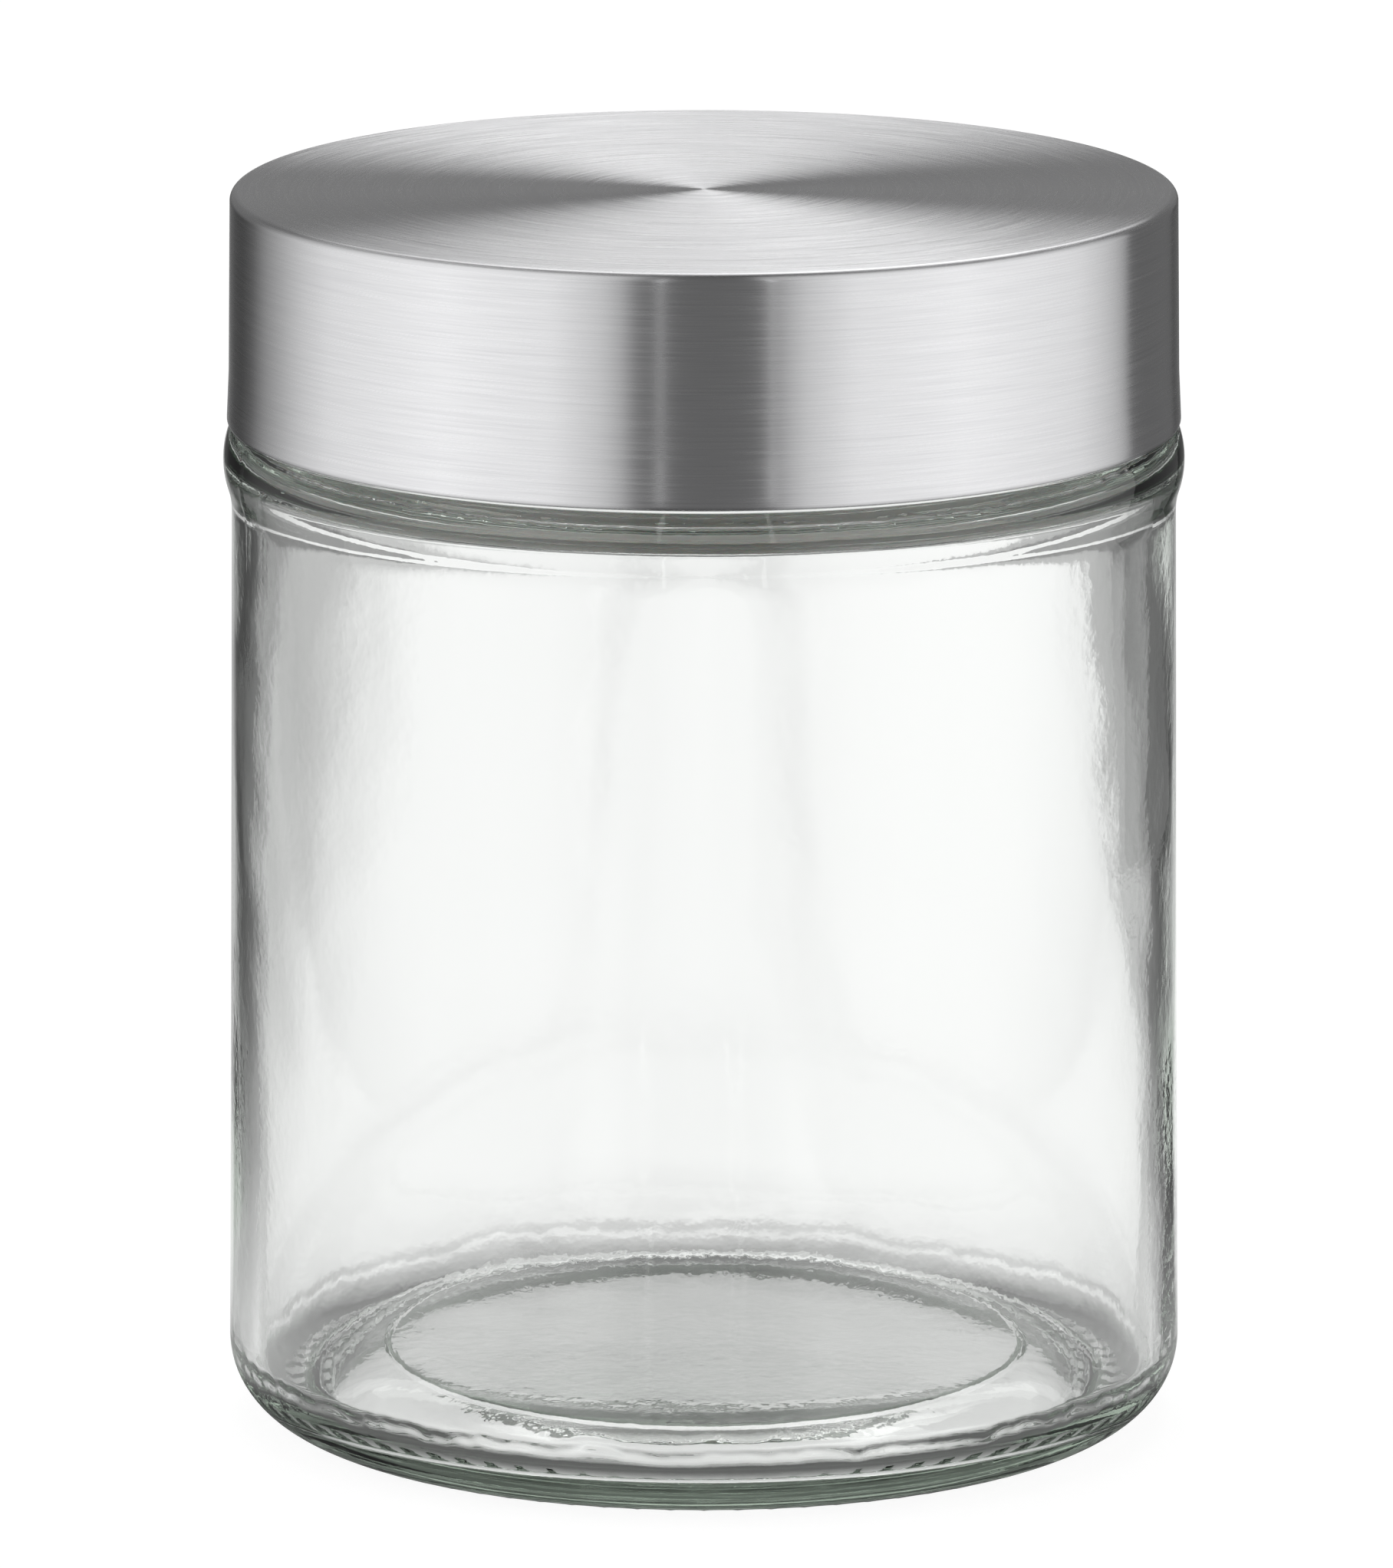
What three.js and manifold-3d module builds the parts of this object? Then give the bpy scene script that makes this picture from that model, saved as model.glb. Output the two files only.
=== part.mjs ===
// Glass storage jar with a brushed steel screw lid.
// Millimetres, +Z up, origin at the middle of the base, on the surface that the jar stands on.
import * as THREE from "three";
import { mergeVertices } from "three/addons/utils/BufferGeometryUtils.js";
import Module from "manifold-3d";

// Glass body
const bodyRadius = 55.1; // outside, just under the bead
const bodyTaper = 0.9; // how much wider the body is at the heel
const bodyHeight = 110; // base to the sharp corner under the bead
const bodyWall = 3.2;
const heelRadius = 9.2;

// Base
const bearingWidth = 2.2; // flat ring that the jar stands on
const pushUpRise = 6.2; // underside at the middle
const pushUpRound = 0.25; // share of that rise in the gentle dome, the rest is the steep rim
const pushUpPower = 15.5; // how steep the rim is
const baseThickness = 4.8; // at the middle
const floorRound = 0.47; // share of the floor's fall in its gentle dome
const valleyHeight = 5.2; // lowest height of the inside, between the raised floor and the wall
const valleyLean = 38.5; // degrees, where the raised floor meets the valley
const cornerRadius = 4.2; // inside, valley to wall

// Bead, shoulder and neck
const beadHeight = 7.9;
const beadBulge = 0.96;
const beadHollow = 5; // radius of the hollow under the bead
const bendStart = 2.7; // inside, above the corner under the bead, where the wall starts to turn in
const bendRise = 5.2; // inside, height of the bend from body to neck
const neckHeight = 22.9; // shoulder to rim
const neckWall = 3.5;
const neckFillet = 1.5;
const rimFillet = 0.7;

// Closure: ramps on the neck, and lugs of the same section in the liner
const rampStarts = 4;
const rampLead = 24; // rise in one turn
const rampArc = 100; // degrees that each ramp runs round the neck
const rampRunOut = 14; // degrees in which each end fades into the wall
const rampHeight = 1.6;
const rampBase = 2.6; // width along the axis, at the wall
const rampCrest = 1.2;
const rampMiddle = 13.1; // above the shoulder
const lugArc = 60; // degrees

// Lid
const lidTaper = 0.25; // how much wider the skirt is above the flared hem
const hemFlare = 0.25;
const hemFlareHeight = 6;
const hemDepth = 2.2; // edge turned in under the liner
const shellSheet = 0.5;
const shellEdgeRadius = 1.6;
const linerWall = 1.3;
const linerDisc = 1.6;
const plugWall = 1.4; // ring that centres the lid in the mouth
const plugReach = 1.2; // below the rim
const plugBead = 0.8; // lip under the seal's inner edge
const sealThickness = 2;
const sealOverhang = 1; // beyond the neck's outside

// Clearances
const fitGap = 0.3; // between pieces that seat on each other
const skirtGap = 0.4; // lid's hem to shoulder
const runningGap = 0.4; // ramp crest to liner, and lug crest to neck
const flankGap = 0.4; // along the axis, between ramp and lug
const mouthGap = 1.1; // plug's lip to mouth

// Facets
const roundSteps = 60;
const rampSteps = 15;
const rootDepth = 0.4; // ramps and lugs start inside the wall that carries them

// Heights
const shoulderZ = bodyHeight + beadHeight;
const rimZ = shoulderZ + neckHeight;
const sealZ = rimZ + fitGap;
const discZ = sealZ + sealThickness + fitGap;
const linerTopZ = discZ + linerDisc;
const lidTopZ = linerTopZ + fitGap + shellSheet;
const hemZ = shoulderZ + skirtGap;
const linerFootZ = hemZ + shellSheet + fitGap;
const flareZ = hemZ + hemFlareHeight;

// Radii: the lid is flush with the body, and the neck is set in by what the lid's side holds
const lidRadius = bodyRadius;
const linerRadius = lidRadius - shellSheet - fitGap;
const linerBore = linerRadius - linerWall;
const neckRadius = linerBore - runningGap - rampHeight;
const mouthRadius = neckRadius - neckWall;
const plugLipRadius = mouthRadius - mouthGap;
const plugRadius = plugLipRadius - plugBead;
const heelOutside = bodyRadius + bodyTaper;

const wasm = await Module();
wasm.setup();

// Points of an arc about (r, z), between two angles in degrees
function arc(r, z, radius, from, to, steps) {
  const points = [];
  for (let i = 0; i <= steps; i++) {
    const angle = THREE.MathUtils.degToRad(from + ((to - from) * i) / steps);
    points.push([r + radius * Math.cos(angle), z + radius * Math.sin(angle)]);
  }
  return points;
}

// A gentle dome from the axis out to radius r, which falls away more and more steeply at its rim
function dome(r, zMiddle, fall, round, power, shares) {
  return shares.map((t) => [r * t, zMiddle - fall * (round * t ** 2 + (1 - round) * t ** power)]);
}

// Two equal arcs that carry one upright wall over to another
function sBend(r0, z0, r1, z1, steps) {
  const points = [];
  for (let i = 0; i <= steps; i++) {
    const t = i / steps;
    const ease = (1 - Math.cos(Math.PI * t)) / 2;
    points.push([r0 + (r1 - r0) * ease, z0 + (z1 - z0) * t]);
  }
  return points;
}

// A solid of revolution about Z from a profile of [r, z] points, listed anticlockwise
function revolve(profile) {
  const outline = profile.map(([r, z]) => new THREE.Vector2(Math.max(r, 0), z));
  const turned = new THREE.LatheGeometry(outline, roundSteps);
  return turned.rotateX(Math.PI / 2);
}

function toSolid(geometry) {
  const bare = geometry.clone();
  bare.deleteAttribute("normal");
  bare.deleteAttribute("uv");
  const merged = mergeVertices(bare, 1e-4);
  const mesh = { numProp: 3, vertProperties: merged.attributes.position.array };
  mesh.triVerts = new Uint32Array(merged.index.array);
  return new wasm.Manifold(new wasm.Mesh(mesh));
}

function toGeometry(solid) {
  const mesh = solid.getMesh();
  const geometry = new THREE.BufferGeometry();
  geometry.setAttribute("position", new THREE.BufferAttribute(mesh.vertProperties, 3));
  geometry.setIndex(new THREE.BufferAttribute(mesh.triVerts, 1));
  geometry.computeVertexNormals();
  return geometry;
}

// A straight bar with a tapered section, wrapped on the helix: root and crest are radii
function helicalRib(root, crest, middleZ, arcDegrees, startDegrees) {
  const wall = root + Math.sign(root - crest) * rootDepth;
  const section = new THREE.Shape();
  section.moveTo(-rampBase / 2, wall);
  section.lineTo(rampBase / 2, wall);
  section.lineTo(rampBase / 2, root);
  section.lineTo(rampCrest / 2, crest);
  section.lineTo(-rampCrest / 2, crest);
  section.lineTo(-rampBase / 2, root);
  const bar = new THREE.ExtrudeGeometry(section, { depth: 1, steps: rampSteps, bevelEnabled: false });
  const places = bar.attributes.position;
  for (let i = 0; i < places.count; i++) {
    const along = places.getZ(i) - 0.5;
    const fromEnd = (0.5 - Math.abs(along)) * arcDegrees;
    const fullness = THREE.MathUtils.smoothstep(fromEnd, -rampRunOut / 4, rampRunOut);
    const radius = wall + (places.getY(i) - wall) * fullness;
    const turn = THREE.MathUtils.degToRad(startDegrees + along * arcDegrees);
    const rise = (along * arcDegrees * rampLead) / 360;
    const z = middleZ + places.getX(i) + rise;
    places.setXYZ(i, radius * Math.cos(turn), radius * Math.sin(turn), z);
  }
  return toSolid(bar);
}

function withRibs(geometry, root, crest, middleZ, arcDegrees) {
  let solid = toSolid(geometry);
  for (let start = 0; start < rampStarts; start++) {
    const turn = (360 * start) / rampStarts;
    solid = solid.add(helicalRib(root, crest, middleZ, arcDegrees, turn));
  }
  return toGeometry(solid);
}

function makeJar() {
  const standRadius = heelOutside - heelRadius;
  const ringRadius = standRadius - bearingWidth;
  const beadCurve = (beadHeight ** 2 / 4 + beadBulge ** 2) / (2 * beadBulge);
  const beadAngle = THREE.MathUtils.radToDeg(Math.asin(beadHeight / 2 / beadCurve));
  const beadMiddle = bodyRadius + beadBulge - beadCurve;
  const beadZ = bodyHeight + beadHeight / 2;
  const hollowDrop = Math.sqrt(beadBulge * (2 * beadCurve - beadBulge + 2 * beadHollow));
  const hollowAngle = THREE.MathUtils.radToDeg(Math.asin(hollowDrop / (beadCurve + beadHollow)));
  const lowWall = heelOutside - bodyWall;
  const highWall = bodyRadius - bodyWall;
  const bendZ = bodyHeight + bendStart;
  const lean = THREE.MathUtils.degToRad(valleyLean);
  const cornerMiddle = lowWall - cornerRadius;
  const cornerZ = valleyHeight + cornerRadius;
  const floorZ = pushUpRise + baseThickness;
  const floorEdge = cornerMiddle - cornerRadius * Math.sin(lean);
  const floorFall = floorZ - cornerZ + cornerRadius * Math.cos(lean);
  const floorPower = ((Math.tan(lean) * floorEdge) / floorFall - 2 * floorRound) / (1 - floorRound);
  const underShares = [0, 0.4, 0.65, 0.8, 0.88, 0.93, 0.965, 1];
  const floorShares = [1, 0.94, 0.87, 0.78, 0.66, 0.5, 0.3, 0];
  const profile = [
    ...dome(ringRadius, pushUpRise, pushUpRise, pushUpRound, pushUpPower, underShares),
    ...arc(standRadius, heelRadius, heelRadius, -90, 0, 6),
    ...arc(bodyRadius + beadHollow, beadZ - hollowDrop, beadHollow, 180, 180 - hollowAngle, 3),
    ...arc(beadMiddle, beadZ, beadCurve, -hollowAngle, beadAngle, 6).slice(1),
    ...arc(neckRadius + neckFillet, shoulderZ + neckFillet, neckFillet, 270, 180, 3),
    ...arc(neckRadius - rimFillet, rimZ - rimFillet, rimFillet, 0, 90, 2),
    ...arc(mouthRadius + rimFillet, rimZ - rimFillet, rimFillet, 90, 180, 2),
    ...sBend(mouthRadius, bendZ + bendRise, highWall, bendZ, 6),
    ...arc(cornerMiddle, cornerZ, cornerRadius, 0, -90 - valleyLean, 7),
    ...dome(floorEdge, floorZ, floorFall, floorRound, floorPower, floorShares).slice(1),
  ];
  const crest = neckRadius + rampHeight;
  return withRibs(revolve(profile), neckRadius, crest, shoulderZ + rampMiddle, rampArc);
}

function makeShell() {
  const skirtRadius = lidRadius + lidTaper;
  const hemRadius = skirtRadius + hemFlare;
  const edge = lidRadius - shellEdgeRadius;
  const edgeZ = lidTopZ - shellEdgeRadius;
  const insideRadius = shellEdgeRadius - shellSheet;
  const profile = [
    ...arc(hemRadius - shellSheet, hemZ + shellSheet, shellSheet, 270, 360, 3),
    [skirtRadius, flareZ],
    ...arc(edge, edgeZ, shellEdgeRadius, 0, 90, 5),
    [0, lidTopZ],
    [0, lidTopZ - shellSheet],
    ...arc(edge, edgeZ, insideRadius, 90, 0, 4),
    [skirtRadius - shellSheet, flareZ],
    [hemRadius - shellSheet, hemZ + shellSheet],
    [hemRadius - hemDepth, hemZ + shellSheet],
    [hemRadius - hemDepth, hemZ],
    [hemRadius - shellSheet, hemZ],
  ];
  return revolve(profile);
}

function makeLiner() {
  const edgeRadius = shellEdgeRadius - shellSheet - fitGap;
  const plugZ = rimZ - plugReach;
  const profile = [
    [0, discZ],
    [plugRadius - plugWall, discZ],
    [plugRadius - plugWall, plugZ],
    [plugRadius, plugZ],
    [plugLipRadius, rimZ - plugReach / 2],
    [plugLipRadius, rimZ],
    [plugRadius, rimZ],
    [plugRadius, discZ],
    [linerBore, discZ],
    [linerBore, linerFootZ],
    [linerRadius + lidTaper + hemFlare, linerFootZ],
    [linerRadius + lidTaper, flareZ],
    ...arc(linerRadius - edgeRadius, linerTopZ - edgeRadius, edgeRadius, 0, 90, 4),
    [0, linerTopZ],
  ];
  const flankSlope = (rampBase - rampCrest) / 2 / rampHeight;
  const lugDrop = (rampBase + rampCrest) / 2 - flankSlope * runningGap + flankGap;
  const lugMiddle = shoulderZ + rampMiddle - lugDrop;
  return withRibs(revolve(profile), linerBore, linerBore - rampHeight, lugMiddle, lugArc);
}

function makeSeal() {
  const inside = plugRadius + fitGap;
  const outside = neckRadius + sealOverhang;
  const top = sealZ + sealThickness;
  const profile = [
    [inside, sealZ],
    [outside, sealZ],
    [outside, top],
    [inside, top],
    [inside, sealZ],
  ];
  return revolve(profile);
}

function addPiece(group, name, geometry, color, roughness, metalness) {
  const finish = new THREE.MeshStandardMaterial({ color, roughness, metalness });
  const piece = new THREE.Mesh(geometry, finish);
  piece.name = name;
  group.add(piece);
  return piece;
}

const jar = new THREE.Group();
const glass = addPiece(jar, "glass_jar", makeJar(), 0xdde6e2, 0.03, 0);
glass.material.transparent = true;
glass.material.opacity = 0.35;

const lid = new THREE.Group();
addPiece(lid, "lid_shell", makeShell(), 0xc6c6c8, 0.32, 1);
addPiece(lid, "lid_liner", makeLiner(), 0xebeae6, 0.45, 0);
addPiece(lid, "seal_ring", makeSeal(), 0xe4e4e0, 0.55, 0);
jar.add(lid);

export default jar;
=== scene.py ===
import bpy
import math
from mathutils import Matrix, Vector, noise


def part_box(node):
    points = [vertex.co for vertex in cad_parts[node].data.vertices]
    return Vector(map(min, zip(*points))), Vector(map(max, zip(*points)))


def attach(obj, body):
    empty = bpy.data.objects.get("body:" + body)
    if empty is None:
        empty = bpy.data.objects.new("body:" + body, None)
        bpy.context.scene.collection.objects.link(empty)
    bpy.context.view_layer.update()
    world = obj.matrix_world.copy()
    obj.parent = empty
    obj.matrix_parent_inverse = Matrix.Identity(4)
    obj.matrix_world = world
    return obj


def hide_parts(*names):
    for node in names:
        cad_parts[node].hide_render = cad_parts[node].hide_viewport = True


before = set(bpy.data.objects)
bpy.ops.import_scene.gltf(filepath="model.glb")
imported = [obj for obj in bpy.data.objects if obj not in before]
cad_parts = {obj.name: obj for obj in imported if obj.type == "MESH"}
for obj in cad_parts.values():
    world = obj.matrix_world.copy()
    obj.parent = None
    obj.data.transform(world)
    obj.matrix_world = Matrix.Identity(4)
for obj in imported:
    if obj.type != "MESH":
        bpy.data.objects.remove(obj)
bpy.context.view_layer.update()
mm = 0.001  # sizes below are in millimetres, Blender works in metres
print("frame loaded:", sorted(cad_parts))

jarLow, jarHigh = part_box("glass_jar")
shellLow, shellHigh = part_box("lid_shell")
linerLow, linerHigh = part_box("lid_liner")
sealLow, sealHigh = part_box("seal_ring")


# shared helpers

def toLinear(hexColour):
    parts = [int(hexColour[i:i + 2], 16) / 255 for i in (0, 2, 4)]
    linear = [c / 12.92 if c <= 0.04045 else ((c + 0.055) / 1.055) ** 2.4 for c in parts]
    return (*linear, 1.0)


def addNode(tree, kind, settings=None, links=None):
    node = tree.nodes.new(kind)
    for name, value in (settings or {}).items():
        if isinstance(name, int) or name in node.inputs:
            node.inputs[name].default_value = value
        else:
            setattr(node, name, value)
    for socket, source in (links or {}).items():
        tree.links.new(source, node.inputs[socket])
    return node


def newMaterial(name):
    material = bpy.data.materials.new(name)
    material.use_nodes = True
    material.node_tree.nodes.clear()
    return material, material.node_tree


def smoothStep(low, high, value):
    t = min(max((value - low) / (high - low), 0.0), 1.0)
    return t * t * (3 - 2 * t)


def arcRow(zone, r, z, radius, start, end, steps):
    turns = [math.radians(start + (end - start) * i / steps) for i in range(steps + 1)]
    return [(zone, r + radius * math.cos(t), z + radius * math.sin(t)) for t in turns]


def lineRow(zone, r0, z0, r1, z1, steps):
    shares = [i / steps for i in range(steps + 1)]
    return [(zone, r0 + (r1 - r0) * t, z0 + (z1 - z0) * t) for t in shares]


def easeRow(zone, r0, z0, r1, z1, steps):  # bend that starts and ends upright
    shares = [i / steps for i in range(steps + 1)]
    eased = [(1 - math.cos(math.pi * t)) / 2 for t in shares]
    return [(zone, r0 + (r1 - r0) * e, z0 + (z1 - z0) * t) for t, e in zip(shares, eased)]


def cleanRows(rows):  # drops points that repeat the one before
    kept = [rows[0]]
    for row in rows[1:]:
        if math.hypot(row[1] - kept[-1][1], row[2] - kept[-1][2]) > 0.004:
            kept.append(row)
    return kept


def spinMesh(name, rows, columns, shape, closed):
    # a closed profile in mm, turned about Z; rows on the axis become one point
    rows = cleanRows(rows)
    places, rings = [], []
    turns = [2 * math.pi * j / columns for j in range(columns)]
    for zone, r, z in rows:
        if r < 1e-6:
            rings.append([len(places)])
            places.append((0.0, 0.0, shape(zone, 0.0, z, 0.0)[1] * mm))
            continue
        rings.append(list(range(len(places), len(places) + columns)))
        for turn in turns:
            r1, z1 = shape(zone, r, z, turn)
            places.append((r1 * math.cos(turn) * mm, r1 * math.sin(turn) * mm, z1 * mm))
    faces = []
    pairs = list(zip(rings, rings[1:] + rings[:1]))
    for low, high in pairs if closed else pairs[:-1]:
        if len(low) == len(high) == 1:
            continue
        for j in range(columns):
            k = (j + 1) % columns
            if len(low) == 1:
                faces.append((low[0], high[k], high[j]))
            elif len(high) == 1:
                faces.append((low[j], low[k], high[0]))
            else:
                faces.append((low[j], low[k], high[k], high[j]))
    mesh = bpy.data.meshes.new(name)
    mesh.from_pydata(places, [], faces)
    mesh.shade_smooth()
    piece = bpy.data.objects.new(name, mesh)
    bpy.context.scene.collection.objects.link(piece)
    return piece


def plainShape(zone, r, z, turn):
    return r, z


# closure: four short ramps on the neck, and lugs of the same section in the liner

closure = {
    "starts": 4,
    "lead": 24.0,  # rise in one turn
    "rampArc": 100.0,  # degrees
    "lugArc": 60.0,
    "runOut": 14.0,
    "height": 1.6,
    "base": 2.6,
    "crest": 1.2,
    "rampMiddle": 131.0,  # height of the ramps' middle
    "lugDrop": 2.125,  # lugs sit this far under the ramps
}


def ribHeight(z, turn, middle, arc):
    degrees = math.degrees(turn)
    spacing = 360 / closure["starts"]
    best = 0.0
    for start in range(-1, closure["starts"] + 1):
        along = degrees - start * spacing
        if abs(along) > arc / 2:
            continue
        off = abs(z - middle - along * closure["lead"] / 360)
        flank = 1 - smoothStep(closure["crest"] / 2, closure["base"] / 2, off)
        fade = smoothStep(0, closure["runOut"], arc / 2 - abs(along))
        best = max(best, closure["height"] * flank * fade)
    return best


# glass jar

jarGlass = {
    "columns": 480,
    "heelOutside": 56.0,  # radius just above the heel
    "bodyTop": 55.1,  # radius under the bead
    "bodyHeight": 110.0,
    "wall": 3.2,
    "heel": 9.2,
    "pushUp": 6.2,  # underside, middle
    "pushUpRound": 0.25,  # share of that height in the gentle dome, the rest is the steep rim
    "pushUpPower": 15.5,
    "standInside": 44.6,
    "baffle": 36.8,  # ring left by the mould's bottom plate
    "baffleLine": 0.14,
    "baffleWidth": 0.28,
    "baffleStep": 0.12,  # rows across the line
    "floorMiddle": 11.0,
    "floorRound": 0.47,
    "valley": 5.2,  # lowest height of the inside, near the wall
    "valleyLean": 38.5,  # degrees, where the raised floor meets the valley
    "corner": 4.2,
    "wallEase": 0.03,  # the wall leans out by this much in its last stretch above the corner
    "wallEaseHeight": 3.0,
    "beadHeight": 8.66,  # the shoulder nearly touches the hem
    "beadBulge": 0.96,
    "beadFillet": 9.0,  # hollow under the bead
    "shoulderStep": 0.5,
    "neck": 51.0,
    "mouth": 47.5,
    "neckFillet": 1.5,
    "rim": 0.7,
    "bendLow": 112.7,  # inside, where the wall starts to turn in
    "bendHigh": 118.5,
    "bars": 80,  # bars of the standing ring
    "barDepth": 0.32,
    "barInside": 44.8,
    "barOutside": 50.4,
    "barFade": 0.9,
    "waveLong": 38.0,  # slow waves of the blown inside
    "waveLongDepth": 0.32,
    "waveShort": 9.0,
    "waveShortDepth": 0.05,
    "waveCalm": 8.0,  # waves fade out this far under the rim
    "waveFloor": 0.5,  # share of the waves on the floor
    "ripple": 2.6,  # ripples of the chilled glass by the valley
    "rippleDepth": 0.035,
    "rippleRadius": (34.0, 41.0),  # ripples grow between these radii
    "rippleHeight": (7.0, 15.0),  # and fade between these heights
    "bore": 115.4,  # line inside the bead, left by the neck's plunger
    "boreDepth": 0.15,
    "boreWidth": 0.18,
    "boreWobble": (90.0, 0.15),  # unevenness of the line: pace round the jar and height
    "settle": 8.1,  # ring where the blown wall settled on the pressed base
    "settleDepth": 0.2,
    "settleWidth": 0.55,
    "settleRagged": ((7.0, 0.9), (26.0, 0.45), (70.0, 0.2)),  # the same for the ring, slow to quick
    "seamTurns": (-163.0, 17.0),  # degrees, where the mould's halves met
    "seamHeight": 0.09,
    "seamWidth": 0.55,
    "seamFade": 12.0,  # seams show from this far under the bead
}


def domeHeight(g, share):  # underside: a gentle dome with a steep rim
    gentle = g["pushUpRound"] * share ** 2
    steep = (1 - g["pushUpRound"]) * share ** g["pushUpPower"]
    return g["pushUp"] * (1 - gentle - steep)


def floorDrop(g, share, power):  # inside: how far the raised floor has fallen, as a share
    return g["floorRound"] * share ** 2 + (1 - g["floorRound"]) * share ** power


def jarRows():
    g = jarGlass
    shoulder = g["bodyHeight"] + g["beadHeight"]
    rimTop = jarHigh.z / mm
    stand = g["heelOutside"] - g["heel"]
    half = g["beadHeight"] / 2
    curve = (half ** 2 + g["beadBulge"] ** 2) / (2 * g["beadBulge"])
    spread = math.degrees(math.asin(half / curve))
    beadMiddle = g["bodyTop"] + g["beadBulge"] - curve
    beadZ = g["bodyHeight"] + half
    hollow = g["beadFillet"]
    drop = math.sqrt(g["beadBulge"] * (2 * curve - g["beadBulge"] + 2 * hollow))
    bend = math.degrees(math.asin(drop / (curve + hollow)))
    lowWall = g["heelOutside"] - g["wall"]
    highWall = g["bodyTop"] - g["wall"]
    cornerR, cornerZ = lowWall - g["corner"], g["valley"] + g["corner"]
    lean = math.radians(g["valleyLean"])
    floorEdge = cornerR - g["corner"] * math.sin(lean)
    floorFall = g["floorMiddle"] - cornerZ + g["corner"] * math.cos(lean)
    power = (math.tan(lean) * floorEdge / floorFall - 2 * g["floorRound"]) / (1 - g["floorRound"])
    near = [g["baffle"] + g["baffleStep"] * i for i in range(-6, 7)]
    spots = [near[0] * i / 16 for i in range(16)] + near
    spots += [near[-1] + (g["standInside"] - near[-1]) * i / 24 for i in range(1, 25)]
    rows = [("under", r, domeHeight(g, r / g["standInside"])) for r in spots]
    rows += lineRow("bars", g["standInside"], 0.0, stand, 0.0, 8)
    rows += arcRow("bars", stand, g["heel"], g["heel"], -90, -50, 18)
    rows += arcRow("bars", stand, g["heel"], g["heel"], -50, 0, 12)
    rows += lineRow("outside", g["heelOutside"], g["heel"], g["bodyTop"], beadZ - drop, 30)
    rows += arcRow("bead", g["bodyTop"] + hollow, beadZ - drop, hollow, 180, 180 - bend, 10)
    rows += arcRow("bead", beadMiddle, beadZ, curve, -bend, spread, 24)
    filletR, filletZ = g["neck"] + g["neckFillet"], shoulder + g["neckFillet"]
    rows += lineRow("neck", g["bodyTop"] - g["shoulderStep"], shoulder, filletR, shoulder, 3)
    rows += arcRow("neck", filletR, filletZ, g["neckFillet"], 270, 180, 6)
    rows += lineRow("neck", g["neck"], filletZ, g["neck"], rimTop - g["rim"], 46)
    rows += arcRow("rim", g["neck"] - g["rim"], rimTop - g["rim"], g["rim"], 0, 90, 6)
    rows += arcRow("rim", g["mouth"] + g["rim"], rimTop - g["rim"], g["rim"], 90, 180, 6)
    rows += lineRow("inside", g["mouth"], rimTop - g["rim"], g["mouth"], g["bendHigh"], 10)
    rows += easeRow("inside", g["mouth"], g["bendHigh"], highWall, g["bendLow"], 60)
    easeWall, easeZ = lowWall - g["wallEase"], cornerZ + g["wallEaseHeight"]
    rows += lineRow("inside", highWall, g["bendLow"], easeWall, easeZ, 46)
    rows += lineRow("inside", easeWall, easeZ, lowWall, cornerZ, 12)
    rows += arcRow("inside", cornerR, cornerZ, g["corner"], 0, -90 - g["valleyLean"], 40)
    shares = [1 - i / 44 for i in range(45)]
    rows += [("floor", floorEdge * t, g["floorMiddle"] - floorFall * floorDrop(g, t, power)) for t in shares]
    return rows


def jarShape(zone, r, z, turn):
    g = jarGlass
    around = Vector((math.cos(turn), math.sin(turn), 0.0))
    place = around * r + Vector((0.0, 0.0, z))
    if zone == "under":
        z += g["baffleLine"] * math.exp(-((r - g["baffle"]) / g["baffleWidth"]) ** 2)
    elif zone == "bars":
        window = smoothStep(g["barInside"], g["barInside"] + g["barFade"], r)
        window *= 1 - smoothStep(g["barOutside"] - g["barFade"], g["barOutside"], r)
        bar = 0.5 - 0.5 * math.cos(turn * g["bars"])
        z += g["barDepth"] * window * bar
    elif zone in ("outside", "bead"):
        for seam in g["seamTurns"]:
            gap = math.remainder(turn - math.radians(seam), 2 * math.pi) * r
            height = g["seamHeight"] * smoothStep(g["bodyHeight"] - g["seamFade"], g["bodyHeight"], z)
            r += height * math.exp(-(gap / g["seamWidth"]) ** 2)
    elif zone == "neck":
        r += ribHeight(z, turn, closure["rampMiddle"], closure["rampArc"])
    elif zone in ("inside", "floor"):
        slow = noise.noise(place / g["waveLong"] + Vector((3.1, 0.7, 5.2)))
        quick = noise.noise(place / g["waveShort"] + Vector((9.4, 2.2, 1.6)))
        wave = g["waveLongDepth"] * slow + g["waveShortDepth"] * quick
        chilled = smoothStep(*g["rippleRadius"], r) * (1 - smoothStep(*g["rippleHeight"], z))
        wave += g["rippleDepth"] * chilled * noise.noise(place / g["ripple"])
        if zone == "inside":
            ragged = sum(height * noise.noise(around * pace) for pace, height in g["settleRagged"])
            ring = z - g["settle"] - ragged
            pace, height = g["boreWobble"]
            line = z - g["bore"] - height * noise.noise(around * pace)
            r += wave * smoothStep(0, g["waveCalm"], jarHigh.z / mm - z)
            r -= g["settleDepth"] * math.exp(-(ring / g["settleWidth"]) ** 2)
            r -= g["boreDepth"] * math.exp(-(line / g["boreWidth"]) ** 2)
        else:
            z += g["waveFloor"] * wave
    return r, z


glassPiece = spinMesh("jarBlownGlass", jarRows(), jarGlass["columns"], jarShape, False)
print("glass jar:", len(glassPiece.data.vertices), "points")


# steel lid

steelLid = {
    "columns": 256,
    "sheet": 0.5,
    "edge": 1.0,  # radius of the drawn corner
    "taper": 0.25,
    "flare": 0.25,
    "flareHeight": 6.0,
    "hemDepth": 2.2,
    "hemRound": 0.5,
    "lift": 0.4,  # the hem nearly touches the shoulder
    "topRadius": 55.1,
}


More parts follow.
